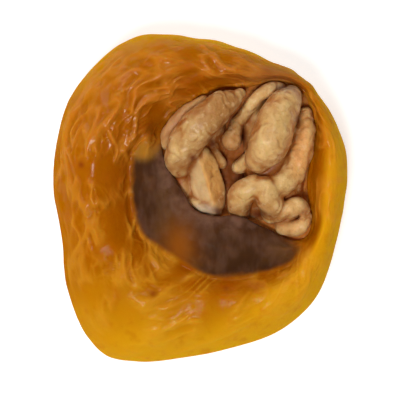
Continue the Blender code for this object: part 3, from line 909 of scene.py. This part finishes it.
# %% [markdown]
# ## Inner flesh between the lobes
#
# Between the lobes, and between them and the rim, the eye doesn't look down into an empty pocket. The
# moist inside of the fruit has sunk against the kernel and fills the clefts part of the way. It could
# be left out, but then the gaps would be black. It is a low cushion of flesh across the mouth, its
# upper side a gently lumpy surface over the angle and the share of the way out to the mouth's edge.


# %% The cushion of flesh
FLESH_LEVEL = 10.2
FLESH_DEPTH = 2.4
FLESH_BEYOND = 0.1
FLESH_CLIMB = ((0, -0.6), (60, 0.4), (120, 1.0), (170, 1.4), (220, 1.6), (270, 1.0), (310, -0.6))


def cushion_points(rings=60, sides=180):
    """Rings from the middle of the upper side out to the mouth's edge and back in underneath.

    The upper side stands at FLESH_LEVEL plus noise, and climbs by FLESH_CLIMB over the outer third; the
    under side is flat and FLESH_DEPTH lower.
    """
    degrees = np.arange(sides) * 360 / sides
    share = np.linspace(0.02, 1, rings)[:, None]
    reach = share * (around(degrees, MOUTH) + FLESH_BEYOND)[None, :]
    spin = np.radians(degrees)[None, :]
    x, y = MOUTH_CENTRE[0] + reach * np.cos(spin), MOUTH_CENTRE[1] + reach * np.sin(spin)
    flat = np.stack([x, y, 0 * reach], axis=-1)
    lumps = 0.7 * noise(flat / 2.6, 81) + 0.25 * noise(flat / 0.9, 82)
    climb = around(degrees, FLESH_CLIMB)[None, :] * ease(0.7, 1.0, share)
    top = flat + np.array([0, 0, 1]) * (FLESH_LEVEL + lumps + climb)[..., None]
    under = flat[::-1] + np.array([0, 0, FLESH_LEVEL - FLESH_DEPTH])
    return np.concatenate([top, under])


cushion = place_in_frame(cushion_points())
flesh_mesh = closed_mesh("inner_flesh", cushion)
outwards = np.linalg.norm(cushion[..., :2] - cushion[:1, :, :2].mean(axis=1, keepdims=True), axis=-1)
mark(flesh_mesh, "edge", ease(0.7, 0.95, outwards / outwards.max(axis=0)))
inner_flesh = put("inner_flesh", flesh_mesh)
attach(inner_flesh, "root")
print("inner flesh faces", len(flesh_mesh.polygons))

# %% [markdown]
# ## Writing a finish as sums
#
# A material is a net of nodes, and a net is hard to read. The two small classes below let a finish be
# written as arithmetic: a value from a node can be added, taken away and multiplied, and each sign
# adds the Math node that does it. Colours go through Mix nodes, because a Math node would turn them
# grey, and most finishes are a list of colours laid over each other in turn.


# %% Values and finishes
class Amount:
    """A value in a finish. Adding or multiplying it adds the Math node that does so."""

    def __init__(self, finish, socket):
        self.finish, self.socket = finish, socket

    def math(self, operation, first, second):
        return self.finish.node("ShaderNodeMath", {"operation": operation}, {0: first, 1: second})

    def __add__(self, other):
        return self.math("ADD", self, other)

    __radd__ = __add__

    def __sub__(self, other):
        return self.math("SUBTRACT", self, other)

    def __rsub__(self, other):
        return self.math("SUBTRACT", other, self)

    def __mul__(self, other):
        return self.math("MULTIPLY", self, other)

    __rmul__ = __mul__

    def between(self, low, high):
        """0 below low, 1 above high, and an S-shaped rise between."""
        return self.finish.node(
            "ShaderNodeMapRange",
            {"interpolation_type": "SMOOTHSTEP"},
            {"Value": self, "From Min": low, "From Max": high},
        )


class Finish:
    """A material in the making, built round one Principled shader."""

    def __init__(self, name):
        self.material = bpy.data.materials.new(name)
        self.material.use_nodes = True
        self.nodes = self.material.node_tree.nodes
        self.links = self.material.node_tree.links
        self.shader = self.nodes["Principled BSDF"]

    def join(self, value, socket):
        if isinstance(value, Amount):
            self.links.new(value.socket, socket)
        elif isinstance(value, tuple) and len(value) == 3 and len(socket.default_value) == 4:
            socket.default_value = (*value, 1)
        else:
            socket.default_value = value

    def node(self, kind, settings=None, inputs=None, output=0):
        """A node of any kind: its settings first, then the values or links of its sockets."""
        made = self.nodes.new(kind)
        for name, value in (settings or {}).items():
            setattr(made, name, value)
        for name, value in (inputs or {}).items():
            self.join(value, made.inputs[name])
        return Amount(self, made.outputs[output])

    def colours(self, share, first, second):
        """A colour that goes from the first to the second as the share goes from 0 to 1."""
        return self.node("ShaderNodeMix", {"data_type": "RGBA"}, {0: share, 6: first, 7: second}, 2)

    def layered(self, colour, *layers):
        """A colour with others laid over it in turn, each given with its share from 0 to 1."""
        for share, over in layers:
            colour = self.colours(share, colour, over)
        return colour

    def marked(self, name):
        """A number stored at each point of the mesh."""
        return self.node("ShaderNodeAttribute", {"attribute_name": name}, {}, "Fac")

    def in_millimetres(self):
        """The point on the piece, in millimetres."""
        place = self.node("ShaderNodeTexCoord", {}, {}, "Object")
        return self.node("ShaderNodeMapping", {}, {"Vector": place, "Scale": (1000, 1000, 1000)})

    def clouds(self, where, size, detail=3.0, roughness=0.5):
        """Cloudy noise about 0.5, its lumps about this size in millimetres."""
        return self.node(
            "ShaderNodeTexNoise",
            {},
            {"Vector": where, "Scale": 1 / size, "Detail": detail, "Roughness": roughness},
        )

    def bump(self, height, distance):
        """Tilts the surface as if it stood out by height times the distance in millimetres."""
        inputs = {"Height": height, "Distance": distance * MM, "Strength": 1.0}
        return self.node("ShaderNodeBump", {}, inputs)

    def set(self, **sockets):
        """Values or links of the shader's own sockets, with _ for a space."""
        for name, value in sockets.items():
            self.join(value, self.shader.inputs[name.replace("_", " ")])


def paint(red, green, blue):
    """A colour given as it looks on a screen, 0 to 255, turned into the light it stands for."""
    share = np.array([red, green, blue]) / 255
    light = np.where(share <= 0.04045, share / 12.92, ((share + 0.055) / 1.055) ** 2.4)
    return tuple(float(v) for v in light)


# %% [markdown]
# ## Finish of the apricot
#
# Dried apricot is translucent: light goes in at one place and comes out, more orange, at another. That
# is subsurface scattering, and it matters more than any painted colour. Over it lie the colour changes
# that the masks place: yellow where the flesh is thin, brown-orange on the slopes, paler lines on the
# ridges as painted highlight, painted shade in the recess beside the kernel and on a patch of the rim,
# and the dark flap with its edge painted lighter as a highlight. The surface is sticky in places, so a
# thin coat shines in small soft patches. The coat fades on the flanks, which would turn white with it,
# and on the dull flap.

# %% Apricot skin and flap
finish = Finish("apricot_skin")
where = finish.in_millimetres()
large = finish.clouds(where, 7.0, 2.0)
middle_sized = finish.clouds(where, 1.8, 3.0)
small = finish.clouds(where, 0.35, 3.0, 0.6)
thin_here = (finish.marked("thin") + 0.5 * (large - 0.5)).between(0.05, 0.95)
# Paler colours for the wrinkle ridges, a painted highlight, yellower on the web underneath.
ridge_highlight_colour = finish.colours(finish.marked("web"), paint(216, 138, 42), paint(228, 166, 40))
orange = finish.layered(
    paint(177, 98, 0),
    (thin_here, paint(225, 160, 16)),
    (0.85 * finish.marked("slope_dark"), paint(150, 72, 0)),
    (0.3 * middle_sized.between(0.5, 0.75), paint(190, 92, 0)),
    (0.42 * finish.marked("ridge"), ridge_highlight_colour),
    # Painted shade on a patch of the rim and in the recess beside the kernel.
    (0.45 * finish.marked("rim_shade_patch"), paint(140, 98, 60)),
    (0.45 * finish.marked("recess_shade").between(0.1, 1.3), paint(90, 36, 6)),
    (0.7 * finish.marked("speck"), paint(128, 40, 12)),
)
streaks = finish.node(
    "ShaderNodeTexNoise",
    {},
    {
        "Vector": finish.node("ShaderNodeMapping", {}, {"Vector": where, "Scale": (0.7, 0.3, 0.5)}),
        "Scale": 1.0,
        "Detail": 2.0,
    },
)
dark = finish.layered(
    paint(70, 42, 24),
    (streaks.between(0.35, 0.7), paint(91, 61, 44)),
    (0.5 * large.between(0.5, 0.8), paint(112, 78, 40)),
    (0.6 * finish.marked("flap_tip"), paint(122, 82, 46)),
    (0.9 * finish.marked("orange_patch"), paint(150, 82, 18)),
    (finish.marked("olive_end").between(0.2, 0.8), paint(170, 116, 36)),
    # Painted highlight on the flap's thin edge.
    (0.5 * finish.marked("lit_flap_edge") * middle_sized.between(0.3, 0.7), paint(146, 106, 86)),
)
flap_here = (finish.marked("flap") + 0.6 * (middle_sized - 0.5)).between(0.1, 1.0)
skin_colour = finish.layered(orange, (flap_here, dark), (finish.marked("inside"), paint(184, 92, 18)))
fine_relief = 0.8 * finish.clouds(where, 0.7, 3.0) + 0.2 * small
finish.set(
    Base_Color=skin_colour,
    Roughness=0.45,
    Specular_IOR_Level=0.0,
    Normal=finish.bump(fine_relief, 0.08),
    Coat_Weight=finish.marked("sticky") * middle_sized.between(0.3, 0.6),
    Coat_Roughness=0.22,
    Coat_IOR=1.4,
    Subsurface_Weight=0.5,
    Subsurface_Radius=(1.0, 0.38, 0.08),
    Subsurface_Scale=2.2 * MM,
)
apricot.data.materials.append(finish.material)

# %% Moist inner flesh
flesh = Finish("inner_flesh")
where = flesh.in_millimetres()
patches = flesh.clouds(where, 2.4, 3.0)
sunk = flesh.colours(patches.between(0.35, 0.65), paint(128, 66, 22), paint(164, 94, 38))
flesh.set(
    Base_Color=flesh.colours(flesh.marked("edge"), sunk, paint(204, 122, 50)),
    Roughness=0.5 + 0.2 * flesh.clouds(where, 0.6, 2.0),
    Normal=flesh.bump(flesh.clouds(where, 0.7, 4.0), 0.15),
    Specular_IOR_Level=0.15,
    Subsurface_Weight=0.4,
    Subsurface_Radius=(1.0, 0.4, 0.1),
    Subsurface_Scale=1.5 * MM,
)
inner_flesh.data.materials.append(flesh.material)

# %% [markdown]
# ## Finish of the kernel
#
# A kernel is pale and oily under a thin papery skin. The skin is tan on the ridges, where it has worn
# thin, and stays orange-brown in the creases. So the colour follows the depth stored at each point: the
# crease mark gives the fine lines and the cleft mark the deep brown between lobes. The raised parts are
# painted paler, partly for the worn skin and partly as painted highlight, and a few pale spots are painted
# highlights too. Painted shade darkens the sides of the lobes that turn away from above, the parts that
# lie low in the mouth, and the dark hollows. Mottles a millimetre wide, fine flecks and a low relief stand
# for the papery skin.


# %% Walnut kernel
def kernel_finish(name, ridge, body, seed):
    """The kernel's finish, with its own colours for the ridges and for the body of the lobes."""
    finish = Finish(name)
    where = finish.in_millimetres()
    shifted = finish.node("ShaderNodeMapping", {}, {"Vector": where, "Location": (seed, 2 * seed, 0)})
    large = finish.clouds(shifted, 4.0, 2.0)
    middle_sized = finish.clouds(shifted, 1.0, 3.0)
    small = finish.clouds(shifted, 0.25, 3.0, 0.6)
    mottle = finish.clouds(shifted, 0.9, 4.0, 0.55)
    crease = (finish.marked("crease") + 0.25 * (middle_sized - 0.5)).between(0.5, 0.95)
    cleft = (finish.marked("cleft") + 0.2 * (large - 0.5)).between(0.5, 1.0)
    # Raised parts painted paler: partly the worn skin, partly painted highlight.
    raised_wear_and_sheen = (finish.marked("crease") + 0.15 * (middle_sized - 0.5)).between(0.55, 0.15)
    # Painted shade on the sides of the lobes that turn away from above.
    painted_side_shade = (finish.marked("upward") + 0.4 * (middle_sized - 0.5)).between(0.95, 0.4)
    # Painted shade: darker the lower a point lies in the mouth; the coat is thinner there too.
    low = (finish.marked("height") + 1.5 * (large - 0.5)).between(14.2, 11.2)
    # The two painted highlight spots, added together.
    light = finish.marked("light") + finish.marked("painted_highlight_left")
    face = finish.colours(finish.marked("right_face"), paint(228, 192, 138), paint(224, 166, 92))
    colour = finish.layered(
        body,
        (large.between(0.35, 0.65), ridge),
        # Painted shade on the turned-away sides and low down, then the raised parts painted paler.
        (0.9 * painted_side_shade, paint(172, 90, 24)),
        (0.75 * low, paint(152, 78, 22)),
        (0.55 * raised_wear_and_sheen, paint(230, 196, 134)),
        (0.5 * finish.marked("browner"), paint(166, 94, 40)),
        (0.6 * finish.marked("ridge_end"), paint(172, 114, 58)),
        (0.5 * finish.marked("strand"), paint(246, 168, 90)),
        # Painted light on the small lobes at the lower right.
        (0.4 * finish.marked("lit_lobe_tips"), paint(238, 184, 118)),
        (0.5 * light, paint(240, 206, 140)),
        (0.3 * mottle.between(0.52, 0.68), paint(168, 106, 52)),
        (0.28 * mottle.between(0.46, 0.34), paint(240, 208, 158)),
        (0.8 * finish.marked("broken"), face),
        (0.8 * crease, paint(162, 88, 24)),
        (0.75 * cleft, paint(136, 64, 16)),
        (0.65 * finish.marked("slim_fold"), paint(172, 112, 68)),
        (0.15 * small.between(0.56, 0.72), paint(166, 108, 50)),
        (0.9 * finish.marked("stain"), paint(120, 46, 16)),
        (0.8 * finish.marked("rust"), paint(150, 62, 18)),
        # Painted shade in the hollows where lobes meet.
        (0.85 * finish.marked("shaded_hollow"), paint(84, 26, 6)),
        (0.6 * finish.marked("grey_tip"), paint(172, 156, 140)),
        (0.6 * finish.marked("grey_edge"), paint(128, 118, 104)),
    )
    relief = 0.85 * finish.clouds(shifted, 0.6, 3.0) + 0.15 * small
    finish.set(
        Base_Color=colour,
        Roughness=0.3 + 0.25 * middle_sized,
        Normal=finish.bump(relief, 0.15),
        Specular_IOR_Level=0.15,
        Coat_Weight=0.2 * finish.marked("upward") * (1 - low),
        Coat_Roughness=0.3,
        Subsurface_Weight=0.35,
        Subsurface_Radius=(1.0, 0.45, 0.18),
        Subsurface_Scale=1.4 * MM,
    )
    return finish.material


left_finish = kernel_finish("kernel_left", paint(194, 148, 88), paint(180, 128, 70), 3)
right_finish = kernel_finish("kernel_right", paint(208, 166, 103), paint(198, 144, 80), 8)
kernel_left.data.materials.append(left_finish)
kernel_right.data.materials.append(right_finish)
print("materials:", ", ".join(m.name for m in bpy.data.materials))

# %% Floor finish
white = Finish("white_surface")
floor_grain = white.clouds(white.in_millimetres(), 30.0, 2.0)
white.set(
    Base_Color=white.colours(floor_grain, (0.66, 0.66, 0.66), (0.68, 0.68, 0.68)),
    Roughness=0.7,
    Emission_Color=(1.0, 1.0, 1.0),
    Emission_Strength=FLOOR_GLOW,
)
floor.data.materials.append(white.material)
